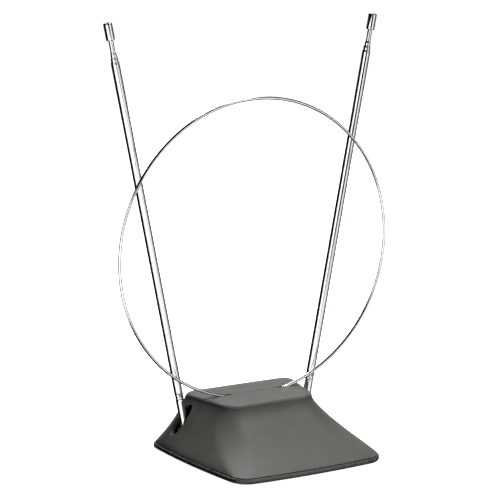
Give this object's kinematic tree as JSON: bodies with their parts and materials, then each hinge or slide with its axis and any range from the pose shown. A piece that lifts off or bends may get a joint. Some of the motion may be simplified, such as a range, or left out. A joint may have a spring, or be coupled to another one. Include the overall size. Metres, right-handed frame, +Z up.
{
  "type": "rabbit ears antenna",
  "caption": "Indoor television antenna: weighted moulded base, round wire loop and two tilting telescopic rods.",
  "frame": {"origin": "middle of the base outline, on the plane of the four rubber feet", "axes": "+Z up; -Y is the front of the base; +X to the right, seen from the front"},
  "size_m": [0.193, 0.1092, 0.2705],
  "materials": {
    "housing": "satin moulded plastic, fine spark texture",
    "base_plate": "black moulded plastic",
    "rubber": "soft black rubber",
    "chrome": "bright chrome plate",
    "zinc_steel": "zinc plated steel",
    "ballast": "plain steel plate, lightly oiled",
    "brass": "drawn brass",
    "circuit_board": "glass-fibre board with green lacquer",
    "ferrite": "sintered ferrite",
    "copper_wire": "enamelled copper wire",
    "ceramic": "dipped ceramic",
    "lead_sleeve": "black insulation"
  },
  "bodies": {
    "base": {"front_shell": "housing", "rear_shell": "housing", "base_plate": "base_plate", "rubber_feet": "rubber", "housing_screws": "zinc_steel", "ballast_plate": "ballast", "uhf_loop": "chrome", "loop_socket_left": "brass", "loop_socket_right": "brass", "circuit_board": "circuit_board", "board_screws": "zinc_steel", "balun_core": "ferrite", "balun_winding": "copper_wire", "choke_coil": "copper_wire", "disc_capacitors": "ceramic", "cable_gland": "rubber", "pivot_bracket_left": "zinc_steel", "pivot_screw_left": "zinc_steel", "pivot_nut_left": "zinc_steel", "friction_washers_left": "brass", "pivot_bracket_right": "zinc_steel", "pivot_screw_right": "zinc_steel", "pivot_nut_right": "zinc_steel", "friction_washers_right": "brass", "bracket_screws": "zinc_steel", "rod_lead_left": "lead_sleeve", "rod_lead_right": "lead_sleeve", "loop_lead_left": "copper_wire", "loop_lead_right": "copper_wire"},
    "rod_left": {"knuckle_left": "zinc_steel", "outer_tube_left": "chrome"},
    "second_section_left": {"second_tube_left": "chrome", "second_bush_left": "brass"},
    "third_section_left": {"third_tube_left": "chrome", "third_bush_left": "brass"},
    "tip_section_left": {"tip_rod_left": "chrome", "tip_bush_left": "brass", "tip_cap_left": "chrome"},
    "rod_right": {"knuckle_right": "zinc_steel", "outer_tube_right": "chrome"},
    "second_section_right": {"second_tube_right": "chrome", "second_bush_right": "brass"},
    "third_section_right": {"third_tube_right": "chrome", "third_bush_right": "brass"},
    "tip_section_right": {"tip_rod_right": "chrome", "tip_bush_right": "brass", "tip_cap_right": "chrome"}
  },
  "joints": [
    {"name": "rod_tilt_left", "type": "hinge", "parent": "base", "child": "rod_left", "pos_m": [-0.0433, 0.0317, 0.012], "axis": [0, -1, 0], "range_deg": [-11, 62]},
    {"name": "second_slide_left", "type": "slide", "parent": "rod_left", "child": "second_section_left", "axis": [-0.1925, 0, 0.9813], "range_m": [-0.0026, 0.2]},
    {"name": "third_slide_left", "type": "slide", "parent": "second_section_left", "child": "third_section_left", "axis": [-0.1925, 0, 0.9813], "range_m": [-0.0029, 0.195]},
    {"name": "tip_slide_left", "type": "slide", "parent": "third_section_left", "child": "tip_section_left", "axis": [-0.1925, 0, 0.9813], "range_m": [-0.0072, 0.185]},
    {"name": "rod_tilt_right", "type": "hinge", "parent": "base", "child": "rod_right", "pos_m": [0.0433, 0.0317, 0.012], "axis": [0, 1, 0], "range_deg": [-11, 62]},
    {"name": "second_slide_right", "type": "slide", "parent": "rod_right", "child": "second_section_right", "axis": [0.1925, 0, 0.9813], "range_m": [-0.0026, 0.2]},
    {"name": "third_slide_right", "type": "slide", "parent": "second_section_right", "child": "third_section_right", "axis": [0.1925, 0, 0.9813], "range_m": [-0.0029, 0.195]},
    {"name": "tip_slide_right", "type": "slide", "parent": "third_section_right", "child": "tip_section_right", "axis": [0.1925, 0, 0.9813], "range_m": [-0.0072, 0.185]}
  ]
}
